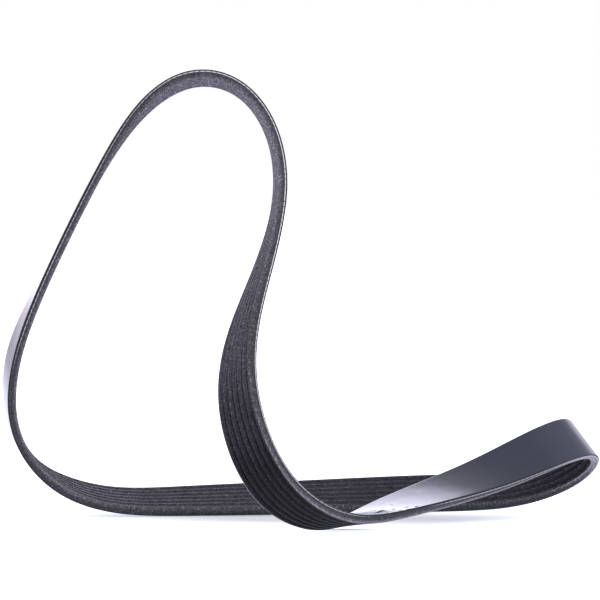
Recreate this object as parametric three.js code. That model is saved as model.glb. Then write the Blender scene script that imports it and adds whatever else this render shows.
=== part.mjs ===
// Multi-rib drive belt, lying loose: one endless rubber band, smooth on its back and ribbed
// lengthwise on its inner face. It rests on the near edge of its long back run, climbs into a
// tall arch, drops in front of that run, turns over once and comes back round a tight bend.
// Millimetres. X to the right, Y away from the viewer, Z up, floor at Z = 0.

import * as THREE from 'three';

// The band
const RIB_COUNT = 7;
const RIB_PITCH = 3.56;
const BAND_THICKNESS = 4.3; // smooth back to rib tips
const RIB_DEPTH = 2.4; // groove floor to rib tips
const RIB_ANGLE = 40; // degrees between the two flanks of a rib
const GROOVE_FLOOR = 0.4; // flat width at the bottom of a groove
const BACK_CHAMFER = 0.35; // broken edge between the smooth back and each cut side

// The loop
const LOOP_LENGTH = 980; // once round, along the middle of the smooth back
const STEPS_PER_STATION = 6;

// Stations of the route, in the order of travel, laid out to the real size. They are the poles
// of a closed cubic spline, so they pull the band towards them and it cuts their corners.
//   x, y   middle of the smooth back
//   lift   height of its lower edge above the floor
//   swing  how far the across direction turns from +Y towards -X, in degrees
//   rise   how far its far end is raised, in degrees
const BACK_RUN = [
  [103, 127.5, -0.5, 8.5, 36.5],
  [61.5, 116, 0, 15, 36],
  [-2.5, 105, 0, 8.5, 28.5],
  [-55.5, 97.5, 0, 10, 23.5],
  [-92, 95, 0, 8, 18],
];
const LEFT_BEND = [
  [-119.5, 89, 9, 10.5, 15],
  [-137.5, 83.5, 27, 9.5, 1],
  [-146, 78, 51, 9, 9.5],
  [-143, 73.5, 81.5, 14.5, 8.5],
];
const RISING_RUN = [
  [-127.5, 75, 116, 3, 3.5],
  [-97.5, 74.5, 177, 5, 0],
];
const CROWN = [
  [-76.5, 74.5, 206, -5.5, -2],
  [-52.5, 72, 218.5, -9.5, -7],
  [-27, 68, 211.5, -8.5, -14],
  [-9.5, 58, 185.5, -2, -23.5],
];
const FALLING_RUN = [
  [-5.5, 44, 152, 10.5, -25.5],
  [-16, 25, 117.5, 20.5, -19],
  [-28, 4, 85.5, 36, -19],
  [-28.5, -11.5, 52, 50, -20],
];
const TURNOVER = [
  [-12.5, -12, 13.5, 53, -26],
  [17.5, 9, 0, 36, -17],
  [40.5, 29, 9, 38, 7.5],
];
const RETURN_RUN = [
  [87, 66, 16, 41.5, 23],
  [119.5, 83, 26.5, 46, 39.5],
];
const RIGHT_BEND = [
  [138, 96, 31.5, 46, 43.5],
  [144.5, 110, 27.5, 50.5, 45.5],
  [142, 121.5, 17, 29.5, 48.5],
  [128, 128.5, 7, 20, 43.5],
];
const ROUTE = [
  BACK_RUN, LEFT_BEND, RISING_RUN, CROWN, FALLING_RUN, TURNOVER, RETURN_RUN, RIGHT_BEND,
].flat();

const radians = THREE.MathUtils.degToRad;
const halfWidth = (RIB_COUNT * RIB_PITCH) / 2;
const flankSlope = Math.tan(radians(RIB_ANGLE / 2));
const steps = ROUTE.length * STEPS_PER_STATION;

// Cross-section: across along X, smooth back along Y = 0, ribs hanging to -BAND_THICKNESS. The
// sides are cut straight down through the outermost flanks.
function bandSection() {
  const halfRoot = (RIB_PITCH - GROOVE_FLOOR) / 2;
  const halfTip = halfRoot - RIB_DEPTH * flankSlope;
  const grooveFloor = RIB_DEPTH - BAND_THICKNESS;
  const firstRib = (-(RIB_COUNT - 1) / 2) * RIB_PITCH;
  const outerFlank = (halfWidth + firstRib - halfTip) / flankSlope;

  const section = new THREE.Shape();
  section.moveTo(-halfWidth, outerFlank - BAND_THICKNESS);
  for (let rib = 0; rib < RIB_COUNT; rib += 1) {
    const middle = firstRib + rib * RIB_PITCH;
    if (rib > 0) section.lineTo(middle - halfRoot, grooveFloor);
    section.lineTo(middle - halfTip, -BAND_THICKNESS);
    section.lineTo(middle + halfTip, -BAND_THICKNESS);
    if (rib < RIB_COUNT - 1) section.lineTo(middle + halfRoot, grooveFloor);
  }
  section.lineTo(halfWidth, outerFlank - BAND_THICKNESS);
  section.lineTo(halfWidth, -BACK_CHAMFER);
  section.lineTo(halfWidth - BACK_CHAMFER, 0);
  section.lineTo(BACK_CHAMFER - halfWidth, 0);
  section.lineTo(-halfWidth, -BACK_CHAMFER);
  section.closePath();
  return section;
}

// Uniform cubic spline drawn by a ring of poles, with no seam in slope or curvature.
class ClosedSpline extends THREE.Curve {
  constructor(poles) {
    super();
    this.poles = poles;
  }

  getPoint(t, target = new THREE.Vector3()) {
    const first = Math.floor(t * this.poles.length);
    const u = t * this.poles.length - first;
    const weights = [
      (1 - u) ** 3,
      3 * u ** 3 - 6 * u ** 2 + 4,
      -3 * u ** 3 + 3 * u ** 2 + 3 * u + 1,
      u ** 3,
    ];
    target.set(0, 0, 0);
    weights.forEach((weight, offset) => {
      const pole = this.poles[(first + offset) % this.poles.length];
      target.addScaledVector(pole, weight / 6);
    });
    return target;
  }
}

// From the near edge of the band to its far edge.
function acrossDirection([, , , swing, rise]) {
  const raised = new THREE.Vector3(0, Math.cos(radians(rise)), Math.sin(radians(rise)));
  return raised.applyAxisAngle(new THREE.Vector3(0, 0, 1), radians(swing));
}

// The lower edge keeps its height over the floor whatever the width of the band.
function backPoint(station, spread) {
  const [x, y, lift] = station;
  const overEdge = halfWidth * Math.abs(acrossDirection(station).z);
  return new THREE.Vector3(x * spread, y * spread, lift * spread + overEdge);
}

// The route stretched until the loop has its length, as one frame for each step: place,
// across and outward.
function routeFrames() {
  const laidOut = new ClosedSpline(ROUTE.map((station) => backPoint(station, 1)));
  const spread = LOOP_LENGTH / laidOut.getLength();
  const middle = new ClosedSpline(ROUTE.map((station) => backPoint(station, spread)));
  const lean = new ClosedSpline(ROUTE.map(acrossDirection));
  return Array.from({ length: steps }, (_, step) => {
    const t = step / steps;
    const travel = middle.getTangent(t);
    const across = lean.getPoint(t).projectOnPlane(travel).normalize();
    const outward = new THREE.Vector3().crossVectors(travel, across);
    return { place: middle.getPoint(t), across, outward };
  });
}

// A straight extrusion of the section, one unit long, without its end caps.
function openBand(section) {
  const band = new THREE.ExtrudeGeometry(section, { depth: 1, steps, bevelEnabled: false });
  const [caps, sides] = band.groups;
  const kept = band.getAttribute('position').array.slice(sides.start * 3);
  console.assert(caps.start + caps.count === sides.start);
  const open = new THREE.BufferGeometry();
  open.setAttribute('position', new THREE.BufferAttribute(kept, 3));
  return open;
}

// Wraps the straight band round the route: its last section lands on its first.
function beltGeometry() {
  const frames = routeFrames();
  const belt = openBand(bandSection());
  const position = belt.getAttribute('position');
  const point = new THREE.Vector3();
  for (let index = 0; index < position.count; index += 1) {
    const step = Math.round(position.getZ(index) * steps);
    const { place, across, outward } = frames[step % steps];
    point.copy(place);
    point.addScaledVector(across, position.getX(index));
    point.addScaledVector(outward, position.getY(index));
    position.setXYZ(index, point.x, point.y, point.z);
  }
  belt.computeVertexNormals();
  return belt;
}

// Stands the belt on the floor with the origin under the middle of its outline.
function standOnFloor(geometry) {
  geometry.computeBoundingBox();
  const { min, max } = geometry.boundingBox;
  geometry.translate(-(min.x + max.x) / 2, -(min.y + max.y) / 2, -min.z);
  return geometry;
}

const rubber = new THREE.MeshStandardMaterial({
  color: 0x26262c,
  roughness: 0.62,
  metalness: 0,
});

const belt = new THREE.Mesh(standOnFloor(beltGeometry()), rubber);
belt.name = 'belt';

const group = new THREE.Group();
group.add(belt);

export default group;
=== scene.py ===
import logging
import math
from abc import ABC, abstractmethod
from collections.abc import Callable
from dataclasses import dataclass, field
from enum import Enum
from typing import Any, Union

import bmesh
import bpy
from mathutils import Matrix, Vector


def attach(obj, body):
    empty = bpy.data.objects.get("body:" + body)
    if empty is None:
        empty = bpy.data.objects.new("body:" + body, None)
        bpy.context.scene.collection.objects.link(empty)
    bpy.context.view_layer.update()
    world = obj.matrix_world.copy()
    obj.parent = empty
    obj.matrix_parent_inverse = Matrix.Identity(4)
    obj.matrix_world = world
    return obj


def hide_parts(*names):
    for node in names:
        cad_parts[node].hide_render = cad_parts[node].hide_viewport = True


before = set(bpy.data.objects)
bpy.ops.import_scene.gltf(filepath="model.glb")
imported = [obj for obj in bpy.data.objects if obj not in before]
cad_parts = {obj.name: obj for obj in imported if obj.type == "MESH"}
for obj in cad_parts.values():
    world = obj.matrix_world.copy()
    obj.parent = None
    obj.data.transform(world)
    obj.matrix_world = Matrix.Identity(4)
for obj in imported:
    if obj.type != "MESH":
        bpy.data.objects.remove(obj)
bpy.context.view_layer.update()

MM = 0.001
log = logging.getLogger("belt")

Pair = tuple[float, float]
Triple = tuple[float, float, float]
Colour = Triple
Value = Union["Wire", float]
Stops = tuple[Pair, ...]
Socket = bpy.types.NodeSocket


def arithmetic(operation: str, swapped: bool = False) -> Callable[["Wire", Value], "Wire"]:
    """Makes an operator of a wire.

    Args:
        operation: the Math node's operation; a comparison gives one or nought.
        swapped: whether the other value comes first, as in 1 - mask.

    Returns:
        The method.
    """
    def operator(self: "Wire", other: Value) -> "Wire":
        """This value and another, put through a Math node."""
        return self.graph.math(operation, *((other, self) if swapped else (self, other)))

    return operator


class Wire:
    """One value socket of a node tree; arithmetic on it adds Math nodes."""

    def __init__(self, graph: "Graph", socket: Socket) -> None:
        """Wraps a socket.

        Args:
            graph: the tree that the socket is in.
            socket: an output socket that carries a number.
        """
        self.graph = graph
        self.socket = socket

    __add__, __radd__ = arithmetic("ADD"), arithmetic("ADD", swapped=True)
    __sub__, __rsub__ = arithmetic("SUBTRACT"), arithmetic("SUBTRACT", swapped=True)
    __mul__, __rmul__ = arithmetic("MULTIPLY"), arithmetic("MULTIPLY", swapped=True)
    __truediv__, __rtruediv__ = arithmetic("DIVIDE"), arithmetic("DIVIDE", swapped=True)
    __pow__, __rpow__ = arithmetic("POWER"), arithmetic("POWER", swapped=True)
    __gt__, __lt__ = arithmetic("GREATER_THAN"), arithmetic("LESS_THAN")

    def __abs__(self) -> "Wire":
        """This value without its sign."""
        return self.graph.math("ABSOLUTE", self)

    def added_to(self, level: float, share: float) -> "Wire":
        """An even level with a share of this value on top."""
        return level + self * share

    def fade(self, start: float, end: float) -> "Wire":
        """A soft step between nought and one.

        Args:
            start: the value at which the step is nought.
            end: the value at which it is one, which may be the smaller.

        Returns:
            The step, held at nought and one outside the two.
        """
        low, high = min(start, end), max(start, end)
        to_low, to_high = (0.0, 1.0) if start < end else (1.0, 0.0)
        node = self.graph.node(
            "ShaderNodeMapRange", {"interpolation_type": "SMOOTHSTEP"},
            {"Value": self, "From Min": low, "From Max": high,
             "To Min": to_low, "To Max": to_high})
        return Wire(self.graph, node.outputs["Result"])

    def band(self, start: float, end: float, soft: float) -> "Wire":
        """A mask that is one between two values.

        Args:
            start: the lower value.
            end: the upper value.
            soft: how far each side fades.

        Returns:
            The mask.
        """
        return self.fade(start - soft, start + soft) * self.fade(end + soft, end - soft)


class Graph:
    """A node tree under construction, of a material, the world or a modifier."""

    def __init__(self, tree: bpy.types.NodeTree) -> None:
        """Starts on an empty tree.

        Args:
            tree: the node tree, whose nodes are removed.
        """
        self.tree = tree
        tree.nodes.clear()

    def node(
        self, kind: str, settings: dict[str, Any] | None = None,
        sockets: dict[str | int, Any] | None = None,
    ) -> bpy.types.Node:
        """Adds any node.

        Args:
            kind: the node's type.
            settings: its properties, set before its sockets.
            sockets: values or links of its inputs, by name, identifier or index.

        Returns:
            The new node.
        """
        made = self.tree.nodes.new(kind)
        for name, value in (settings or {}).items():
            setattr(made, name, value)
        for key, value in (sockets or {}).items():
            target = self.socket(made.inputs, key)
            if isinstance(value, Wire):
                value = value.socket
            if isinstance(value, Socket):
                self.tree.links.new(value, target)
            else:
                target.default_value = value
        return made

    @staticmethod
    def socket(sockets: Any, key: str | int) -> Socket:
        """Finds a socket.

        Args:
            sockets: a node's inputs or outputs.
            key: its index, identifier or name.

        Returns:
            The socket.
        """
        if isinstance(key, int):
            return sockets[key]
        named = [each for each in sockets if each.identifier == key]
        return named[0] if named else sockets[key]

    def math(self, operation: str, *values: Value) -> Wire:
        """Adds a Math node.

        Args:
            operation: what it does.
            values: its inputs in order.

        Returns:
            Its result.
        """
        made = self.node("ShaderNodeMath", {"operation": operation}, dict(enumerate(values)))
        return Wire(self, made.outputs[0])

    def vector(self, operation: str, *values: Any) -> Socket:
        """Adds a Vector Math node.

        Args:
            operation: what it does.
            values: its inputs in order; the last of a scaling is the scale.

        Returns:
            Its vector result, or its number for a dot product.
        """
        sockets = dict(enumerate(values))
        if operation == "SCALE":
            sockets = {0: values[0], "Scale": values[1]}
        made = self.node("ShaderNodeVectorMath", {"operation": operation}, sockets)
        return made.outputs["Value" if operation == "DOT_PRODUCT" else "Vector"]

    def join(self, x: Value, y: Value, z: Value) -> Socket:
        """A vector made of three values."""
        made = self.node("ShaderNodeCombineXYZ", {}, {"X": x, "Y": y, "Z": z})
        return made.outputs["Vector"]

    def split(self, vector: Socket) -> tuple[Wire, Wire, Wire]:
        """The three values of a vector."""
        made = self.node("ShaderNodeSeparateXYZ", {}, {0: vector})
        return tuple(Wire(self, made.outputs[axis]) for axis in "XYZ")

    def blend(self, amount: Value, first: Any, second: Any) -> Socket:
        """Mixes two colours.

        Args:
            amount: how much of the second shows.
            first: a colour or a colour socket.
            second: a colour or a colour socket.

        Returns:
            The mixed colour.
        """
        first, second = (
            (*colour, 1.0) if isinstance(colour, tuple) else colour
            for colour in (first, second))
        made = self.node(
            "ShaderNodeMix", {"data_type": "RGBA"},
            {"Factor_Float": amount, "A_Color": first, "B_Color": second})
        return self.socket(made.outputs, "Result_Color")

    def stretched(self, place: Socket, scale: Triple) -> Socket:
        """A place with its axes scaled."""
        return self.node("ShaderNodeMapping", {}, {"Vector": place, "Scale": scale}).outputs[0]

    def ramp(self, value: Value, stops: Stops) -> Wire:
        """A value read off straight lines between stops.

        Args:
            value: where it is read, from nought to one.
            stops: pairs of place and level, in order.

        Returns:
            The level there.
        """
        made = self.node("ShaderNodeValToRGB", {}, {"Fac": value})
        elements = made.color_ramp.elements
        while len(elements) < len(stops):
            elements.new(1.0)
        for element, (place, level) in zip(elements, stops):
            element.position = place
            element.color = (level, level, level, 1.0)
        return Wire(self, made.outputs["Color"])

    def bumped(
        self, height: Value, strength: float, reach: float, under: Socket | None = None,
    ) -> Socket:
        """A normal from a height.

        Args:
            height: the height, around one half.
            strength: how much of the bump shows.
            reach: the height of one unit, in millimetres.
            under: a normal that it is laid over.

        Returns:
            The normal.
        """
        sockets = {"Strength": strength, "Distance": reach * MM, "Height": height}
        if under is not None:
            sockets["Normal"] = under
        return self.node("ShaderNodeBump", {}, sockets).outputs["Normal"]


@dataclass(frozen=True)
class Cloud:
    """Soft noise, whole or cut down to spots that start at one level and are full at another.

    scale is its lumps to one unit of place, once the axes are stretched; detail is how many finer
    layers it has and roughness how strong they are.
    """

    scale: float = 1.0
    detail: float = 2.0
    roughness: float = 0.5
    stretch: Triple | None = None
    spots: Pair | None = None

    def read(self, graph: Graph, place: Socket) -> Wire:
        """Adds the noise to a material.

        Args:
            graph: the material's tree.
            place: where it is read.

        Returns:
            A value around one half, or a mask of the spots.
        """
        if self.stretch:
            place = graph.stretched(place, self.stretch)
        made = graph.node("ShaderNodeTexNoise", {}, {
            "Vector": place, "Scale": self.scale, "Detail": self.detail,
            "Roughness": self.roughness})
        value = Wire(graph, made.outputs["Fac"])
        return value.fade(*self.spots) if self.spots else value


@dataclass(frozen=True)
class BandSize:
    """Sizes of the band, in millimetres and degrees."""

    ribs: int = 7
    pitch: float = 3.56
    thickness: float = 4.3
    rib_depth: float = 2.4
    rib_angle: float = 40.0
    groove_floor: float = 0.4
    edge_radius: float = 0.5
    rib_radius: float = 0.22
    length: float = 980.0

    @property
    def half_width(self) -> float:
        """From the middle of the band to either cut side."""
        return self.ribs * self.pitch / 2

    @property
    def root_depth(self) -> float:
        """How far the groove floors lie below the smooth back."""
        return self.thickness - self.rib_depth


BAND = BandSize()


@dataclass(frozen=True)
class Hoop:
    """The belt laid out as a round hoop, smooth back outward: where every point of it is told.

    The mesh carries this place as an attribute, in millimetres, so that a pattern follows the
    band all the way round with no seam.
    """

    attribute: str = "hoop"
    radius: float = BAND.length / math.tau

    def place(self, graph: Graph) -> Socket:
        """The place on the hoop, for a material."""
        settings = {"attribute_type": "GEOMETRY", "attribute_name": self.attribute}
        return graph.node("ShaderNodeAttribute", settings).outputs["Vector"]

    def along(self, graph: Graph, place: Socket, count: int) -> Wire:
        """How far round the hoop a point is.

        Args:
            graph: the material's tree.
            place: the place on the hoop.
            count: how many equal lengths the hoop is divided into.

        Returns:
            The place within one of those lengths, as a number around nought.
        """
        x, y, _ = graph.split(place)
        return graph.math("ARCTAN2", y, x) * (count / math.tau)

    def around(self, graph: Graph, place: Socket) -> Wire:
        """How far round the hoop a point is, from nought to one."""
        turn = self.along(graph, place, 1)
        return turn + (turn < 0.0)

    def depth(self, graph: Graph, place: Socket) -> Wire:
        """How far below the smooth back a point is."""
        x, y, _ = graph.split(place)
        return self.radius - graph.math("SQRT", x * x + y * y)

    def across(self, graph: Graph, place: Socket) -> Wire:
        """How far a point is from the middle of the band."""
        return graph.split(place)[2]


HOOP = Hoop()


class Surface(Enum):
    """The three faces of the band that are finished in their own way."""

    RIBS = "ribs"
    BACK = "back"
    CUT = "cut_side"


def in_scene(name: str, data: bpy.types.ID) -> bpy.types.Object:
    """Puts an object into the scene.

    Args:
        name: what it is called.
        data: its mesh, light or camera.

    Returns:
        The object.
    """
    made = bpy.data.objects.new(name, data)
    bpy.context.scene.collection.objects.link(made)
    return made


def new_material(name: str) -> tuple[bpy.types.Material, Graph]:
    """Starts a material.

    Args:
        name: what it is called.

    Returns:
        The material and its empty tree.
    """
    made = bpy.data.materials.new(name)
    made.use_nodes = True
    return made, Graph(made.node_tree)


@dataclass(frozen=True)
class Finish(ABC):
    """What every rubber finish of the band has: a gloss and a sheen.

    In each finish, edges are where a mask starts and where it is whole, and levels are an even
    level and the shares of what varies on it. A span of the loop is its start, its end and how
    far each side fades, and stops give a level at places round it. relief is the heights that
    add up to the bump, and a bump is its strength and reach. Depths are in millimetres.
    """

    name: str
    specular: float
    sheen: float
    sheen_roughness: float
    fuzz: Colour = (0.86, 0.84, 1.0)

    @abstractmethod
    def varied(self, graph: Graph, hoop: Socket) -> dict[str, Any]:
        """What changes over the surface.

        Args:
            graph: the material's tree.
            hoop: the place on the hoop.

        Returns:
            What feeds the shader's colour, roughness and normal, by name.
        """

    def material(self) -> bpy.types.Material:
        """Builds the finish.

        Returns:
            The material.
        """
        made, graph = new_material(self.name)
        shader = graph.node("ShaderNodeBsdfPrincipled", {}, {
            **self.varied(graph, HOOP.place(graph)),
            "Specular IOR Level": self.specular,
            "Sheen Weight": self.sheen,
            "Sheen Roughness": self.sheen_roughness,
            "Sheen Tint": (*self.fuzz, 1.0),
        })
        graph.node("ShaderNodeOutputMaterial", {}, {"Surface": shader.outputs["BSDF"]})
        return made


@dataclass(frozen=True)
class RibFinish(Finish):
    """Fibre-loaded charcoal rubber of the ribs, flecked with cut fibres, with painted light and
    shade.
    """

    name: str = "rib_rubber"
    specular: float = 0.12
    sheen: float = 0.12
    sheen_roughness: float = 0.28
    rubber: Colour = (0.0300, 0.0286, 0.0415)
    # flank: painted light that lifts the flanks out of the grooves' shade; also the random
    # patches' colour
    flank: Colour = (0.0920, 0.0890, 0.1190)
    # slit: painted shade at the groove bottoms; also the colour of the pits
    slit: Colour = (0.0060, 0.0055, 0.0085)
    fibre: Colour = (0.262, 0.252, 0.290)
    knots: Cloud = Cloud(0.80, 1.0, 0.6, spots=(0.42, 0.58))
    flecks: Cloud = Cloud(1150.0, 2.0, 0.7, spots=(0.53, 0.67))
    pits: Cloud = Cloud(900.0, 2.0, 0.6, spots=(0.47, 0.35))
    grinding: Cloud = Cloud(1.0, 3.0, 0.6, stretch=(0.30, 0.30, 2.2))
    patches: Cloud = Cloud(0.09, 3.0, 0.55, spots=(0.30, 0.72))
    slit_edges: Pair = (1.80, 0.90)
    slit_levels: Pair = (0.40, 0.75)
    flank_edges: Pair = (0.02, 0.65)
    patch_level: float = 0.25
    fleck_levels: Pair = (0.26, 0.5)
    pit_level: float = 0.6
    brightness: float = 3.45
    roughness: Pair = (0.50, 0.16)
    relief: Triple = (0.6, 0.5, 0.4)
    bump: Pair = (0.6, 0.10)
    # Painted light and shade round the loop: lightest on the crown, as its grazing sheen, darkest
    # at the turnover by the floor
    painted_light_ramp: Stops = (
        (0.0, 0.235), (0.13, 0.275), (0.20, 0.36), (0.26, 0.445), (0.38, 0.62), (0.42, 0.96),
        (0.50, 0.96), (0.57, 0.45), (0.62, 0.38), (0.67, 0.090), (0.73, 0.080), (0.78, 0.22),
        (1.0, 0.235))
    # Painted light on the flanks, by how far round the loop
    flank_fill: Stops = (
        (0.0, 1.0), (0.13, 1.0), (0.22, 0.8), (0.40, 1.0), (0.52, 0.9), (0.57, 0.6),
        (0.62, 0.6), (0.69, 1.0), (1.0, 1.0))
    # Painted shade at the groove bottoms, by how far round the loop
    groove_shade: Stops = (
        (0.0, 0.0), (0.13, 0.05), (0.22, 0.6), (0.40, 1.0), (0.57, 1.0), (0.62, 1.0),
        (0.66, 0.7), (0.69, 0.1), (0.72, 0.0), (1.0, 0.0))

    def varied(self, graph: Graph, hoop: Socket) -> dict[str, Any]:
        """Painted light on the flanks, painted shade at the groove bottoms, fibre flecks and pits.

        Args:
            graph: the material's tree.
            hoop: the place on the hoop.

        Returns:
            What feeds the shader's colour, roughness and normal, by name.
        """
        depth = HOOP.depth(graph, hoop)
        around = HOOP.around(graph, hoop)
        on_piece = graph.node("ShaderNodeTexCoord").outputs["Object"]
        flecks = self.flecks.read(graph, on_piece)
        pits = self.pits.read(graph, on_piece)
        ground = self.grinding.read(graph, hoop)

        # Painted shade at the groove bottoms, broken into dots by the knots
        slit = depth.fade(*(BAND.root_depth + edge for edge in self.slit_edges))
        slit = slit * self.knots.read(graph, hoop).added_to(*self.slit_levels)
        # Painted light on the flanks, lighter than the tips, so the grooves' shade looks thinner
        flank = depth.fade(*(BAND.thickness - edge for edge in self.flank_edges))
        flank_fill = flank * graph.ramp(around, self.flank_fill)
        patches = self.patches.read(graph, hoop) * self.patch_level

        colour = graph.blend(flank_fill + patches, self.rubber, self.flank)
        colour = graph.blend(flecks * ground.added_to(*self.fleck_levels), colour, self.fibre)
        colour = graph.blend(pits * self.pit_level, colour, self.slit)
        colour = graph.blend(slit * graph.ramp(around, self.groove_shade), colour, self.slit)
        # Painted light and shade round the loop, scaled to the rubber's brightness
        painted_light_ramp = graph.ramp(around, self.painted_light_ramp) * self.brightness
        fleck_height, ground_height, pit_depth = self.relief
        height = flecks * fleck_height + ground * ground_height - pits * pit_depth
        return {
            "Base Color": graph.vector("SCALE", colour, painted_light_ramp),
            "Roughness": ground.added_to(*self.roughness),
            "Normal": graph.bumped(height, *self.bump),
        }


@dataclass(frozen=True)
class BackFinish(Finish):
    """Smooth rubber of the back: dark slate, satin, with faint streaks and a few dark nicks."""

    name: str = "back_rubber"
    specular: float = 0.26
    sheen: float = 0.22
    sheen_roughness: float = 0.30
    fuzz: Colour = (0.55, 0.48, 1.0)
    rubber: Colour = (0.013, 0.017, 0.037)
    scuff: Colour = (0.028, 0.033, 0.062)
    mark: Colour = (0.003, 0.003, 0.005)
    # A painted highlight, paler and bluer, where the back turns towards the light on the return
    # run and right bend
    painted_highlight: Colour = (0.052, 0.056, 0.092)
    streaks: Cloud = Cloud(1.0, 4.0, 0.6, stretch=(0.05, 0.05, 0.9))
    patches: Cloud = Cloud(0.045, 2.0, 0.5, spots=(0.32, 0.70))
    grain: Cloud = Cloud(3.2, 2.0, 0.55)
    swell: Cloud = Cloud(0.12, 1.0, 0.4)
    patch_level: float = 0.3
    streak_edges: Pair = (0.50, 0.78)
    streak_level: float = 0.2
    nick_stretch: Triple = (0.16, 0.16, 0.42)
    nick_sizes: Cloud = Cloud(0.4, 1.0)
    nick_size: float = 0.38
    nicked: Triple = (0.728, 0.768, 0.004)
    nicked_across: Pair = (3.0, -1.0)
    gouge: Triple = (0.7420, 0.7490, 0.0008)
    gouge_across: Triple = (-6.4, -3.2, 0.5)
    tearing: Cloud = Cloud(0.9, 1.0)
    torn_reach: float = 7.0
    polish: float = 0.06
    duller: tuple[float, ...] = (0.04, 0.06, 0.06, 0.8)
    relief: Pair = (0.7, 1.3)
    fine_bump: Pair = (0.35, 0.03)
    slow_bump: Pair = (0.25, 0.4)
    dulled: Stops = (
        (0.0, 0.08), (0.21, 0.08), (0.228, 0.02), (0.243, 0.03), (0.258, 0.15), (0.285, 0.10),
        (0.30, 0.0), (0.36, 0.0), (0.40, 0.08), (0.70, 0.08), (0.73, 0.02), (0.76, 0.04),
        (0.78, 0.08), (1.0, 0.08))
    # Painted highlight by how far round the loop, strongest at the right bend
    painted_highlight_ramp: Stops = (
        (0.0, 0.0), (0.76, 0.0), (0.79, 0.14), (0.825, 0.10), (0.85, 0.32), (0.88, 1.0),
        (0.91, 0.3), (0.95, 0.0), (1.0, 0.0))

    def marks(self, graph: Graph, hoop: Socket, around: Wire) -> Wire:
        """A scatter of small nicks, and one larger torn one among them.

        Args:
            graph: the material's tree.
            hoop: the place on the hoop.
            around: how far round the loop it is.

        Returns:
            The mask of the marks.
        """
        across = HOOP.across(graph, hoop)
        cells = graph.node(
            "ShaderNodeTexVoronoi", {"feature": "F1"},
            {"Vector": graph.stretched(hoop, self.nick_stretch), "Scale": 1.0})
        reach = self.nick_sizes.read(graph, hoop) * self.nick_size
        crowd = around.band(*self.nicked) * across.fade(*self.nicked_across)
        nicks = (Wire(graph, cells.outputs["Distance"]) < reach) * crowd
        torn = across + (self.tearing.read(graph, hoop) - 0.5) * self.torn_reach
        gouge = around.band(*self.gouge) * torn.band(*self.gouge_across)
        return graph.math("MAXIMUM", nicks, gouge)

    def varied(self, graph: Graph, hoop: Socket) -> dict[str, Any]:
        """Streaks, scuffs, a painted highlight and nicks on a satin skin.

        Args:
            graph: the material's tree.
            hoop: the place on the hoop.

        Returns:
            What feeds the shader's colour, roughness and normal, by name.
        """
        around = HOOP.around(graph, hoop)
        streaks = self.streaks.read(graph, hoop)
        patches = self.patches.read(graph, hoop)
        grain = self.grain.read(graph, hoop)
        marks = self.marks(graph, hoop, around)

        streaked = streaks.fade(*self.streak_edges) * self.streak_level
        colour = graph.blend(patches * self.patch_level, self.rubber, self.scuff)
        colour = graph.blend(streaked, colour, self.scuff)
        # Painted highlight on the return run and right bend
        colour = graph.blend(graph.ramp(around, self.painted_highlight_ramp), colour, self.painted_highlight)
        colour = graph.blend(marks, colour, self.mark)
        roughness: Value = self.polish
        for share, varying in zip(self.duller, (patches, grain, streaks, marks)):
            roughness = roughness + varying * share
        grain_height, streak_height = self.relief
        height = grain * grain_height + streaks * streak_height
        fine = graph.bumped(height, *self.fine_bump)
        return {
            "Base Color": colour,
            "Roughness": roughness + graph.ramp(around, self.dulled),
            "Normal": graph.bumped(self.swell.read(graph, hoop), *self.slow_bump, fine),
        }


@dataclass(frozen=True)
class CordRow:
    """The row of cut cord ends in a cut side: dashes that wander, and here and there join up.

    Sizes are in millimetres. Where the row is sunk, it lies deeper below the smooth back.
    """

    depth: float = 1.0
    width: float = 0.40
    soft: float = 0.08
    count: int = 338
    slant: float = 0.3
    wander: Cloud = Cloud(0.35, 1.0)
    wander_depth: float = 0.15
    wander_along: float = 0.35
    sunk_depth: float = 0.40
    sunk: Stops = (
        (0.0, 0.0), (0.26, 0.0), (0.28, 1.0), (0.36, 1.0), (0.42, 0.0), (1.0, 0.0))
    dash_edges: Pair = (0.47, 0.33)
    dash_levels: Pair = (0.10, 0.90)
    merged: Cloud = Cloud(0.06, 2.0, spots=(0.42, 0.60))
    merged_level: float = 0.8

    def shifted_depth(self, graph: Graph, hoop: Socket, around: Wire) -> Wire:
        """How far below the back a point is, where the row's own depth stays the same.

        Args:
            graph: the material's tree.
            hoop: the place on the hoop.
            around: how far round the loop it is.

        Returns:
            The depth in the row's own measure.
        """
        sideways = (self.wander.read(graph, hoop) - 0.5) * self.wander_depth
        sunk = graph.ramp(around, self.sunk) * self.sunk_depth
        return HOOP.depth(graph, hoop) + sideways - sunk

    def ends(self, graph: Graph, hoop: Socket, line: Wire, bare: Wire) -> Wire:
        """The cord ends.

        Args:
            graph: the material's tree.
            hoop: the place on the hoop.
            line: the depth in the row's own measure.
            bare: how much of the row shows.

        Returns:
            The mask of the cord ends.
        """
        half = self.width / 2
        row = line.band(self.depth - half, self.depth + half, self.soft)
        slant = (HOOP.depth(graph, hoop) - self.depth) * self.slant
        pitch = HOOP.along(graph, hoop, self.count) + slant
        wander = self.wander.read(graph, hoop) - 0.5
        phase = abs(graph.math("FRACT", pitch + wander * self.wander_along) - 0.5)
        merged = self.merged.read(graph, hoop) * bare * self.merged_level
        dash = graph.math("MAXIMUM", phase.fade(*self.dash_edges), merged)
        return row * dash.added_to(*self.dash_levels) * bare


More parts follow.
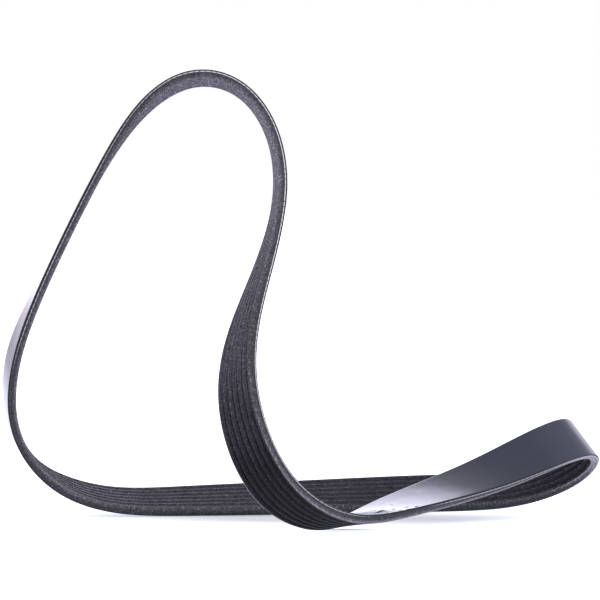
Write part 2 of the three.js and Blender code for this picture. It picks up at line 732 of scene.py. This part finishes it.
@dataclass(frozen=True)
class CutFinish(Finish):
    """The cut side and the outermost flank: backing, cut cords, core rubber, ground flank, and a
    painted highlight on the far corner.
    """

    name: str = "cut_rubber"
    specular: float = 0.3
    sheen: float = 0.20
    sheen_roughness: float = 0.35
    backing: Colour = (0.010, 0.010, 0.014)
    rubber: Colour = (0.042, 0.040, 0.060)
    # cord: the cut cords, also the colour of the painted highlight along the far corner
    cord: Colour = (0.80, 0.79, 0.86)
    flank: Colour = (0.410, 0.402, 0.472)
    fibre: Colour = (0.62, 0.61, 0.68)
    row: CordRow = CordRow()
    flecks: Cloud = Cloud(1200.0, 2.0, 0.7, spots=(0.54, 0.68))
    pits: Cloud = Cloud(850.0, 2.0, 0.6, spots=(0.48, 0.37))
    coarse: Cloud = Cloud(1.0, 3.0, 0.6, stretch=(0.5, 0.5, 0.5))
    raw_levels: Triple = (0.55, 0.50, 0.30)
    ground_edges: Pair = (1.7, 4.4)
    ground_power: Pair = (0.55, 1.5)
    ground_levels: Pair = (0.55, 0.4)
    fleck_levels: Triple = (0.12, 0.16, 0.70)
    pit_levels: Pair = (0.70, -0.2)
    backing_edges: Pair = (0.80, 0.55)
    backing_level: float = 0.95
    rubbed: Triple = (0.862, 0.902, 0.014)
    # Span round the loop of a painted highlight along the far rib corner
    edge_glint: Triple = (0.670, 0.700, 0.006)
    far_corner: Pair = (10.9, 11.1)
    roughness: Pair = (0.60, 0.12)
    cord_gloss: float = 0.1
    relief: tuple[float, ...] = (0.6, 0.5, 0.7, 0.4)
    bump: Pair = (0.6, 0.10)
    bare: Stops = (
        (0.0, 0.0), (0.255, 0.0), (0.28, 0.60), (0.34, 0.50), (0.40, 0.40), (0.44, 0.85),
        (0.52, 1.0), (0.68, 1.0), (0.72, 0.5), (0.735, 0.0), (0.77, 0.0), (0.785, 0.60),
        (0.87, 0.70), (0.90, 0.4), (0.92, 0.0), (1.0, 0.0))
    dusty: Stops = (
        (0.0, 0.16), (0.15, 0.19), (0.19, 0.40), (0.25, 0.50), (0.36, 0.46), (0.40, 0.31),
        (0.45, 0.31), (0.52, 0.42), (0.57, 0.24), (0.62, 0.13), (0.66, 0.34), (0.70, 0.72),
        (0.75, 0.92), (0.80, 1.0), (0.86, 0.98), (0.905, 0.92), (0.93, 0.28), (1.0, 0.16))

    def varied(self, graph: Graph, hoop: Socket) -> dict[str, Any]:
        """Raw rubber under a dusty ground flank, with the backing, the cord ends and a painted
        highlight over it.

        Args:
            graph: the material's tree.
            hoop: the place on the hoop.

        Returns:
            What feeds the shader's colour, roughness and normal, by name.
        """
        around = HOOP.around(graph, hoop)
        bare = graph.ramp(around, self.bare)
        dusty = graph.ramp(around, self.dusty)
        line = self.row.shifted_depth(graph, hoop, around)
        cords = self.row.ends(graph, hoop, line, bare)
        on_piece = graph.node("ShaderNodeTexCoord").outputs["Object"]
        flecks = self.flecks.read(graph, on_piece)
        pits = self.pits.read(graph, on_piece)
        coarse = self.coarse.read(graph, hoop)

        deep = HOOP.depth(graph, hoop).fade(*self.ground_edges)
        ground = graph.math(
            "MAXIMUM", deep ** dusty.added_to(*self.ground_power), around.band(*self.rubbed))
        raw_level, raw_dust, raw_bare = self.raw_levels
        raw = graph.vector("SCALE", self.rubber, dusty * raw_dust + bare * raw_bare + raw_level)
        dust = graph.vector("SCALE", self.flank, dusty)
        fleck_level, fleck_ground, fleck_dust = self.fleck_levels
        fibres = flecks * (fleck_level + ground * dusty.added_to(fleck_ground, fleck_dust))
        backing = line.fade(*self.backing_edges) * self.backing_level
        at_corner = HOOP.across(graph, hoop).fade(*self.far_corner)

        colour = graph.blend(ground * coarse.added_to(*self.ground_levels), raw, dust)
        colour = graph.blend(fibres, colour, self.fibre)
        colour = graph.blend(pits * ground.added_to(*self.pit_levels), colour, self.backing)
        colour = graph.blend(backing, colour, self.backing)
        colour = graph.blend(cords, colour, self.cord)
        # Painted highlight, a thin pale line along the far corner
        colour = graph.blend(at_corner * around.band(*self.edge_glint), colour, self.cord)
        fleck_height, coarse_height, cord_height, pit_depth = self.relief
        height = (flecks * fleck_height + coarse * coarse_height + cords * cord_height
                  - pits * pit_depth)
        return {
            "Base Color": colour,
            "Roughness": coarse.added_to(*self.roughness) - cords * self.cord_gloss,
            "Normal": graph.bumped(height, *self.bump),
        }


@dataclass(frozen=True)
class Station:
    """One pole of the route, in millimetres and degrees."""

    x: float
    y: float
    lift: float
    swing: float
    rise: float

    def across(self) -> Vector:
        """Which way the band lies across its travel.

        Returns:
            From its near edge to its far edge, one long.
        """
        swing, rise = math.radians(self.swing), math.radians(self.rise)
        level = math.cos(rise)
        return Vector((-level * math.sin(swing), level * math.cos(swing), math.sin(rise)))

    def pole(self, half_width: float) -> Vector:
        """The middle of the smooth back, in metres, with the lower edge at its lift."""
        height = self.lift + half_width * abs(self.across().z)
        return Vector((self.x, self.y, height)) * MM


Stations = tuple[Station, ...]


def stations(*rows: tuple[float, float, float, float, float]) -> Stations:
    """Stations from rows of x, y, lift, swing and rise."""
    return tuple(Station(*row) for row in rows)


@dataclass(frozen=True)
class Route:
    """The way the band lies: poles of a closed cubic spline, in the order of travel."""

    back_run: Stations = stations(
        (103, 127.5, -0.5, 8.5, 36.5), (61.5, 116, 0, 15, 36), (-2.5, 105, 0, 8.5, 28.5),
        (-55.5, 97.5, 0, 10, 23.5), (-92, 95, 0, 8, 18))
    left_bend: Stations = stations(
        (-119.5, 89, 9, 10.5, 15), (-137.5, 83.5, 27, 9.5, 1), (-146, 78, 51, 9, 9.5),
        (-143, 73.5, 81.5, 14.5, 8.5))
    rising_run: Stations = stations(
        (-127.5, 75, 116, 3, 3.5), (-97.5, 74.5, 177, 5, 0))
    crown: Stations = stations(
        (-76.5, 74.5, 206, -5.5, -2), (-52.5, 72, 218.5, -9.5, -7),
        (-27, 68, 211.5, -8.5, -14), (-9.5, 58, 185.5, -2, -23.5))
    falling_run: Stations = stations(
        (-5.5, 44, 152, 10.5, -25.5), (-16, 25, 117.5, 20.5, -19), (-28, 4, 85.5, 36, -19),
        (-28.5, -11.5, 52, 50, -20))
    turnover: Stations = stations(
        (-12.5, -12, 13.5, 53, -26), (17.5, 9, 0, 36, -17), (40.5, 29, 9, 38, 7.5))
    return_run: Stations = stations(
        (87, 66, 16, 41.5, 23), (119.5, 83, 26.5, 46, 39.5))
    right_bend: Stations = stations(
        (138, 96, 31.5, 46, 43.5), (144.5, 110, 27.5, 50.5, 45.5),
        (142, 121.5, 17, 29.5, 48.5), (128, 128.5, 7, 20, 43.5))

    def poles(self) -> Stations:
        """Every station, once round."""
        return (self.back_run + self.left_bend + self.rising_run + self.crown
                + self.falling_run + self.turnover + self.return_run + self.right_bend)

    def ring(self, half_width: float, lean: str) -> bpy.types.Mesh:
        """The poles as loose points that carry their across direction.

        Args:
            half_width: half the width of the band, in millimetres.
            lean: name of the attribute for the across direction.

        Returns:
            A mesh of points.
        """
        poles = self.poles()
        mesh = bpy.data.meshes.new("route_poles")
        mesh.from_pydata([station.pole(half_width) for station in poles], [], [])
        directions = mesh.attributes.new(lean, "FLOAT_VECTOR", "POINT")
        for item, station in zip(directions.data, poles):
            item.vector = station.across()
        return mesh


@dataclass
class SectionRule:
    """The cross-section of the band as a rule on the number of each corner.

    Across along X, smooth back along Y = 0, ribs hanging down. Four corners to each rib, then a
    row of points along the back.
    """

    graph: Graph
    ribs: Wire
    pitch: Wire
    thickness: Wire
    rib_depth: Wire
    flank_slope: Wire
    groove_floor: Wire
    edge_radius: Wire
    rib_radius: Wire
    rib_corners: float = 4.0
    back_points: float = 14.0
    edge_margin: float = 1.0 * MM
    edge_arc: float = 5.0
    rib_arc: float = 3.0
    hair: float = 0.001

    def curve(self) -> Socket:
        """The closed, rounded outline.

        Returns:
            The curve.
        """
        graph = self.graph
        index = Wire(graph, graph.node("GeometryNodeInputIndex").outputs[0])
        half_width = self.ribs * self.pitch * 0.5
        half_root = (self.pitch - self.groove_floor) * 0.5
        half_tip = half_root - self.rib_depth * self.flank_slope
        side_depth = self.thickness - (self.pitch * 0.5 - half_tip) / self.flank_slope
        all_corners = self.ribs * self.rib_corners

        rib = graph.math("FLOOR", index / self.rib_corners + self.hair)
        from_tip = index - rib * self.rib_corners - (self.rib_corners - 1.0) / 2
        outer = abs(from_tip) > 1.0
        reach = half_tip + outer * (half_root - half_tip)
        on_back = index > all_corners - 0.5
        first = index < 0.5
        last = (index > all_corners - 1.5) * (1.0 - on_back)
        end = first + last

        rib_x = (rib + 0.5) * self.pitch - half_width + graph.math("SIGN", from_tip) * reach
        end_x = (last - first) * half_width
        back_steps = self.back_points - 1.0
        step = (index - all_corners) / back_steps
        is_edge = (step < self.hair) + (step > 1.0 - self.hair)
        inner_step = (step * back_steps - 1.0) / (back_steps - 2.0)
        inner_x = (half_width - self.edge_margin) * (1.0 - inner_step * 2.0)
        edge_x = half_width * (1.0 - step * 2.0)
        back_x = inner_x * (1.0 - is_edge) + edge_x * is_edge
        x = (rib_x * (1.0 - end) + end_x) * (1.0 - on_back) + back_x * on_back

        rib_y = (outer * self.rib_depth - self.thickness) * (1.0 - end) - side_depth * end
        y = rib_y * (1.0 - on_back)

        line = graph.node("GeometryNodeMeshLine", {}, {"Count": all_corners + self.back_points})
        placed = graph.node("GeometryNodeSetPosition", {}, {
            "Geometry": line.outputs[0], "Position": graph.join(x, y, 0.0)})
        curve = graph.node("GeometryNodeMeshToCurve", {}, {"Mesh": placed.outputs[0]})
        closed = graph.node("GeometryNodeSetSplineCyclic", {}, {
            "Geometry": curve.outputs[0], "Cyclic": True})
        edge = is_edge * on_back
        arc = ((1.0 - on_back) * self.rib_arc + edge * self.edge_arc
               + on_back * (1.0 - edge))
        rounded = graph.node("GeometryNodeFilletCurve", {"mode": "POLY"}, {
            "Curve": closed.outputs[0], "Count": arc, "Limit Radius": True,
            "Radius": self.rib_radius * (1.0 - on_back) + self.edge_radius * edge})
        return rounded.outputs[0]


def captured(graph: Graph, shape: Socket, values: dict[str, Wire]) -> tuple[Socket, list[Wire]]:
    """Keeps values of a shape's points, to be read once the shape has changed.

    Args:
        graph: the tree.
        shape: the geometry.
        values: what is kept, by name.

    Returns:
        The geometry, and the kept values in order.
    """
    made = graph.node("GeometryNodeCaptureAttribute", {}, {"Geometry": shape})
    for name in values:
        made.capture_items.new("FLOAT", name)
    for name, value in values.items():
        graph.tree.links.new(value.socket, made.inputs[name])
    return made.outputs["Geometry"], [Wire(graph, made.outputs[name]) for name in values]


@dataclass
class Belt:
    """The whole belt: one band of multi-rib section, wrapped once round its route.

    seam_gap is the gap that the band's closing merges. back_skin and side_margin say how deep
    the finish of the back goes and how wide that of the cut sides is, in millimetres.
    """

    name: str = "belt_band"
    node: str = "belt"
    body: str = "root"
    slot: str = "rubber"
    band: BandSize = BAND
    steps_per_pole: int = 24
    lean: str = "lean"
    seam_gap: float = 0.002
    back_skin: float = 0.24
    side_margin: float = 1.55
    route: Route = Route()
    finishes: dict[Surface, Finish] = field(default_factory=lambda: {
        Surface.RIBS: RibFinish(), Surface.BACK: BackFinish(), Surface.CUT: CutFinish()})

    def sizes(self) -> dict[str, tuple[str, float | int]]:
        """Named inputs of the tree.

        Returns:
            The socket type and the value of each, in metres or as a number.
        """
        band = self.band
        floats = {
            "Ribs": float(band.ribs),
            "Rib Pitch": band.pitch * MM,
            "Band Thickness": band.thickness * MM,
            "Rib Depth": band.rib_depth * MM,
            "Flank Slope": math.tan(math.radians(band.rib_angle / 2)),
            "Groove Floor": band.groove_floor * MM,
            "Edge Radius": band.edge_radius * MM,
            "Rib Radius": band.rib_radius * MM,
            "Loop Length": band.length * MM,
        }
        named = {label: ("NodeSocketFloat", value) for label, value in floats.items()}
        return named | {"Steps per Pole": ("NodeSocketInt", self.steps_per_pole)}

    def tree(self) -> bpy.types.NodeTree:
        """Builds the tree that turns the ring of poles into the finished band.

        Returns:
            The node group.
        """
        group = bpy.data.node_groups.new("band_round_route", "GeometryNodeTree")
        group.interface.new_socket("Geometry", in_out="OUTPUT", socket_type="NodeSocketGeometry")
        group.interface.new_socket("Poles", in_out="INPUT", socket_type="NodeSocketGeometry")
        for label, (kind, value) in self.sizes().items():
            made = group.interface.new_socket(label, in_out="INPUT", socket_type=kind)
            made.default_value = value
        graph = Graph(group)
        given = graph.node("NodeGroupInput")
        size = {label: Wire(graph, given.outputs[label]) for label in self.sizes()}

        section = SectionRule(
            graph, size["Ribs"], size["Rib Pitch"], size["Band Thickness"], size["Rib Depth"],
            size["Flank Slope"], size["Groove Floor"], size["Edge Radius"], size["Rib Radius"])
        x, y, _ = graph.split(graph.node("GeometryNodeInputPosition").outputs[0])
        outline, (across, depth) = captured(
            graph, section.curve(), {"Across": x, "Depth": y * -1.0})
        travelled = Wire(graph, graph.node("GeometryNodeSplineParameter").outputs["Length"])
        rail, (along,) = captured(
            graph, self.route_curve(graph, given.outputs["Poles"], size), {"Along": travelled})

        band = graph.node("GeometryNodeCurveToMesh", {}, {
            "Curve": rail, "Profile Curve": outline})
        joined = graph.node("GeometryNodeMergeByDistance", {}, {
            "Geometry": band.outputs[0], "Distance": self.seam_gap * MM})
        turn = along * math.tau / size["Loop Length"]
        radius = (size["Loop Length"] / math.tau - depth) / MM
        hoop = graph.join(
            radius * graph.math("COSINE", turn), radius * graph.math("SINE", turn), across / MM)
        told = graph.node(
            "GeometryNodeStoreNamedAttribute", {"data_type": "FLOAT_VECTOR", "domain": "POINT"},
            {"Geometry": joined.outputs[0], "Name": HOOP.attribute, "Value": hoop})
        smooth = graph.node("GeometryNodeSetShadeSmooth", {}, {
            "Geometry": self.on_floor(graph, told.outputs[0])})
        solid = graph.node("GeometryNodeRealizeInstances", {}, {"Geometry": smooth.outputs[0]})

        half_width = size["Ribs"] * size["Rib Pitch"] * 0.5
        on_back = depth < self.back_skin * MM
        on_side = (abs(across) > half_width - self.side_margin * MM) * (1.0 - on_back)
        last = solid.outputs[0]
        for surface, chosen in (
            (Surface.RIBS, True), (Surface.CUT, on_side), (Surface.BACK, on_back),
        ):
            last = graph.node("GeometryNodeSetMaterial", {}, {
                "Geometry": last, "Selection": chosen,
                "Material": self.finishes[surface].material()}).outputs[0]
        graph.node("NodeGroupOutput", {}, {"Geometry": last})
        return group

    def route_curve(self, graph: Graph, poles: Socket, size: dict[str, Wire]) -> Socket:
        """The route as a closed line whose normals point across the band.

        Args:
            graph: the tree.
            poles: the ring of poles.
            size: the tree's named sizes.

        Returns:
            The curve.
        """
        points = graph.node("GeometryNodeMeshToPoints", {}, {"Mesh": poles})
        drawn = graph.node("GeometryNodePointsToCurves", {}, {"Points": points.outputs[0]})
        closed = graph.node("GeometryNodeSetSplineCyclic", {}, {
            "Geometry": drawn.outputs[0], "Cyclic": True})
        spline = graph.node("GeometryNodeCurveSplineType", {"spline_type": "NURBS"}, {
            "Curve": closed.outputs[0]})
        fine = graph.node("GeometryNodeSetSplineResolution", {}, {
            "Geometry": spline.outputs[0], "Resolution": size["Steps per Pole"]})
        line = graph.node("GeometryNodeResampleCurve", {"mode": "EVALUATED"}, {
            "Curve": fine.outputs[0]})
        measured = graph.node("GeometryNodeCurveLength", {}, {"Curve": line.outputs[0]})
        spread = size["Loop Length"] / Wire(graph, measured.outputs[0])
        position = graph.node("GeometryNodeInputPosition").outputs[0]
        sized = graph.node("GeometryNodeSetPosition", {}, {
            "Geometry": line.outputs[0], "Position": graph.vector("SCALE", position, spread)})

        leaning = graph.node(
            "GeometryNodeInputNamedAttribute", {"data_type": "FLOAT_VECTOR"}, {"Name": self.lean})
        lean = leaning.outputs["Attribute"]
        tangent = graph.node("GeometryNodeInputTangent").outputs[0]
        forward = graph.vector("DOT_PRODUCT", lean, tangent)
        level = graph.vector("SUBTRACT", lean, graph.vector("SCALE", tangent, forward))
        turned = graph.node("GeometryNodeSetCurveNormal", {"mode": "FREE"}, {
            "Curve": sized.outputs[0], "Normal": graph.vector("NORMALIZE", level)})
        return turned.outputs[0]

    @staticmethod
    def on_floor(graph: Graph, shape: Socket) -> Socket:
        """Stands a shape on the floor with the origin under the middle of its outline.

        Args:
            graph: the tree.
            shape: the geometry.

        Returns:
            The geometry, moved.
        """
        box = graph.node("GeometryNodeBoundBox", {}, {"Geometry": shape})
        low = graph.split(box.outputs["Min"])
        high = graph.split(box.outputs["Max"])
        offset = graph.join(
            (low[0] + high[0]) * -0.5, (low[1] + high[1]) * -0.5, low[2] * -1.0)
        moved = graph.node("GeometryNodeSetPosition", {}, {"Geometry": shape, "Offset": offset})
        return moved.outputs[0]

    def build(self) -> bpy.types.Object:
        """Makes the band as one plain mesh in the CAD belt's place.

        Returns:
            The finished piece.
        """
        ring = self.route.ring(self.band.half_width, self.lean)
        maker = in_scene("route_maker", ring)
        modifier = maker.modifiers.new("band", "NODES")
        modifier.node_group = self.tree()
        sizes = self.sizes()
        for item in modifier.node_group.interface.items_tree:
            if item.item_type == "SOCKET" and item.name in sizes:
                modifier[item.identifier] = sizes[item.name][1]
        depsgraph = bpy.context.evaluated_depsgraph_get()
        mesh = bpy.data.meshes.new_from_object(
            maker.evaluated_get(depsgraph), preserve_all_data_layers=True, depsgraph=depsgraph)
        mesh.name = self.name
        maker.modifiers.remove(modifier)
        bpy.data.objects.remove(maker)
        piece = in_scene(self.name, mesh)
        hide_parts(self.node)
        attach(piece, self.body)
        return piece


@dataclass(frozen=True)
class PaintedShadow:
    """A soft oval patch of painted shadow on the floor under the belt, where the glow is dimmed.

    Its middle and its reach are in metres, and its rim is a share of the reach.
    """

    middle: Pair
    reach: Pair
    depth: float
    rim: Pair = (1.0, 0.25)

    def mask(self, graph: Graph, place: tuple[Wire, Wire, Wire]) -> Wire:
        """One in the middle of the patch, nought at its rim.

        Args:
            graph: the floor's material.
            place: the place on the floor.

        Returns:
            The mask.
        """
        x, y = (
            (at - middle) / reach for at, middle, reach in zip(place, self.middle, self.reach))
        return graph.math("SQRT", x * x + y * y).fade(*self.rim)


class Light(Enum):
    """Colours of the lamps' light."""

    NEUTRAL = (0.95, 0.95, 1.0)
    LILAC = (0.80, 0.79, 1.0)
    MAUVE = (1.0, 0.82, 1.0)


@dataclass(frozen=True)
class Lamp:
    """A large oblong lamp that faces the belt: place and size in metres, power in watts."""

    name: str
    place: Triple
    size: Pair
    power: float
    light: Light
    aim: Triple = (0.0, 0.0, 0.08)

    def build(self) -> None:
        """Hangs the lamp, out of the camera's sight."""
        data = bpy.data.lights.new(self.name, "AREA")
        data.shape = "RECTANGLE"
        data.size, data.size_y = self.size
        data.energy = self.power
        data.color = self.light.value
        lamp = in_scene(self.name, data)
        lamp.location = self.place
        lamp.visible_camera = False
        towards = Vector(self.aim) - Vector(self.place)
        lamp.rotation_euler = towards.to_track_quat("-Z", "Y").to_euler()


@dataclass(frozen=True)
class Studio:
    """The pale floor, the plain soft light and the camera."""

    floor_reach: float = 30.0
    floor_colour: Colour = (0.92, 0.92, 0.93)
    floor_glow: float = 0.35
    glow_colour: Colour = (0.81, 0.84, 1.0)
    glow_level: float = 3.20
    # Painted shadow under the belt, and a painted contact line at the foot
    painted_shadows: tuple[PaintedShadow, ...] = (
        PaintedShadow((0.006, 0.021), (0.150, 0.046), 0.88),
        PaintedShadow((0.014, -0.0345), (0.024, 0.0045), 0.72))
    backdrop_colour: Colour = (1.0, 1.0, 1.0)
    ambient: float = 0.85
    lamps: tuple[Lamp, ...] = (
        Lamp("overhead_softbox", (-0.2, -0.1, 1.9), (3.0, 3.0), 6.0, Light.NEUTRAL),
        Lamp("front_softbox", (-0.7, -1.7, 1.2), (1.2, 1.2), 6.0, Light.NEUTRAL),
        Lamp("back_softbox", (0.03, 1.60, 0.99), (0.64, 0.97), 9.2, Light.LILAC),
        Lamp("side_softbox", (1.10, 1.70, 0.72), (1.2, 0.8), 4.2, Light.LILAC),
        Lamp("low_softbox", (-0.75, 1.95, 0.20), (0.8, 0.36), 0.5, Light.MAUVE),
        Lamp("strip_softbox", (-0.55, 1.90, 0.20), (0.30, 0.36), 0.22, Light.MAUVE))
    lens: float = 193.3
    camera_place: Triple = (-0.00123, -1.55686, 0.15989)
    camera_fall: float = 1.92
    clip: Pair = (0.05, 100.0)

    @staticmethod
    def seen_directly(graph: Graph) -> Wire:
        """Tells the rays that show a thing as it is from those that light by it.

        Args:
            graph: the tree of a material or the world.

        Returns:
            One for a camera, glossy or transmission ray, else nought.
        """
        path = graph.node("ShaderNodeLightPath")
        rays = ("Is Camera Ray", "Is Glossy Ray", "Is Transmission Ray")
        camera, glossy, passing = (Wire(graph, path.outputs[ray]) for ray in rays)
        return graph.math("MAXIMUM", graph.math("MAXIMUM", camera, glossy), passing)

    def world(self) -> None:
        """White behind everything, and a level, colourless light on it."""
        world = bpy.data.worlds.new("studio_white")
        world.use_nodes = True
        bpy.context.scene.world = world
        graph = Graph(world.node_tree)
        seen = self.seen_directly(graph)
        backdrop = graph.node("ShaderNodeBackground", {}, {
            "Color": (*self.backdrop_colour, 1.0),
            "Strength": seen + (1.0 - seen) * self.ambient})
        graph.node("ShaderNodeOutputWorld", {}, {"Surface": backdrop.outputs[0]})

    def floor_material(self) -> bpy.types.Material:
        """White to the camera, except in the painted shadow under the belt and where the belt
        shades it.

        Returns:
            The material.
        """
        made, graph = new_material("pale_floor")
        matt = graph.node("ShaderNodeBsdfDiffuse", {}, {"Color": (*self.floor_colour, 1.0)})
        place = graph.split(graph.node("ShaderNodeTexCoord").outputs["Object"])
        strength: Value = self.glow_level
        # Painted shadow: each patch dims the glow, shaded or not
        for pool in self.painted_shadows:
            strength = strength * (1.0 - pool.mask(graph, place) * pool.depth)
        glow = graph.node("ShaderNodeEmission", {}, {
            "Color": (*self.glow_colour, 1.0), "Strength": strength})
        mixed = graph.node("ShaderNodeMixShader", {}, {
            0: self.seen_directly(graph) * self.floor_glow,
            1: matt.outputs[0], 2: glow.outputs[0]})
        graph.node("ShaderNodeOutputMaterial", {}, {"Surface": mixed.outputs[0]})
        return made

    def floor(self) -> None:
        """Lays the floor."""
        mesh = bpy.data.meshes.new("studio_floor")
        shape = bmesh.new()
        bmesh.ops.create_grid(shape, x_segments=1, y_segments=1, size=self.floor_reach)
        shape.to_mesh(mesh)
        shape.free()
        mesh.materials.append(self.floor_material())
        floor = in_scene("studio_floor", mesh)

    def camera(self) -> None:
        """Sets the camera at the photograph's viewing angle."""
        data = bpy.data.cameras.new("studio_camera")
        data.lens = self.lens
        data.clip_start, data.clip_end = self.clip
        camera = in_scene("studio_camera", data)
        camera.location = self.camera_place
        camera.rotation_euler = (math.radians(90.0 - self.camera_fall), 0.0, 0.0)
        bpy.context.scene.camera = camera

    def build(self) -> None:
        """Sets up the whole studio."""
        bpy.context.scene.view_settings.view_transform = "Standard"
        self.world()
        self.floor()
        for lamp in self.lamps:
            lamp.build()
        self.camera()


def report(piece: bpy.types.Object) -> None:
    """Logs a piece's size and how many faces it has."""
    log.info("%s: %.1f x %.1f x %.1f mm, %d faces", piece.name,
             *(side / MM for side in piece.dimensions), len(piece.data.polygons))


def main() -> None:
    """Builds the belt and its studio, and logs the belt's size."""
    logging.basicConfig(level=logging.INFO, format="%(name)s: %(message)s")
    report(Belt().build())
    Studio().build()
    bpy.context.view_layer.update()


if __name__ == "__main__":
    main()
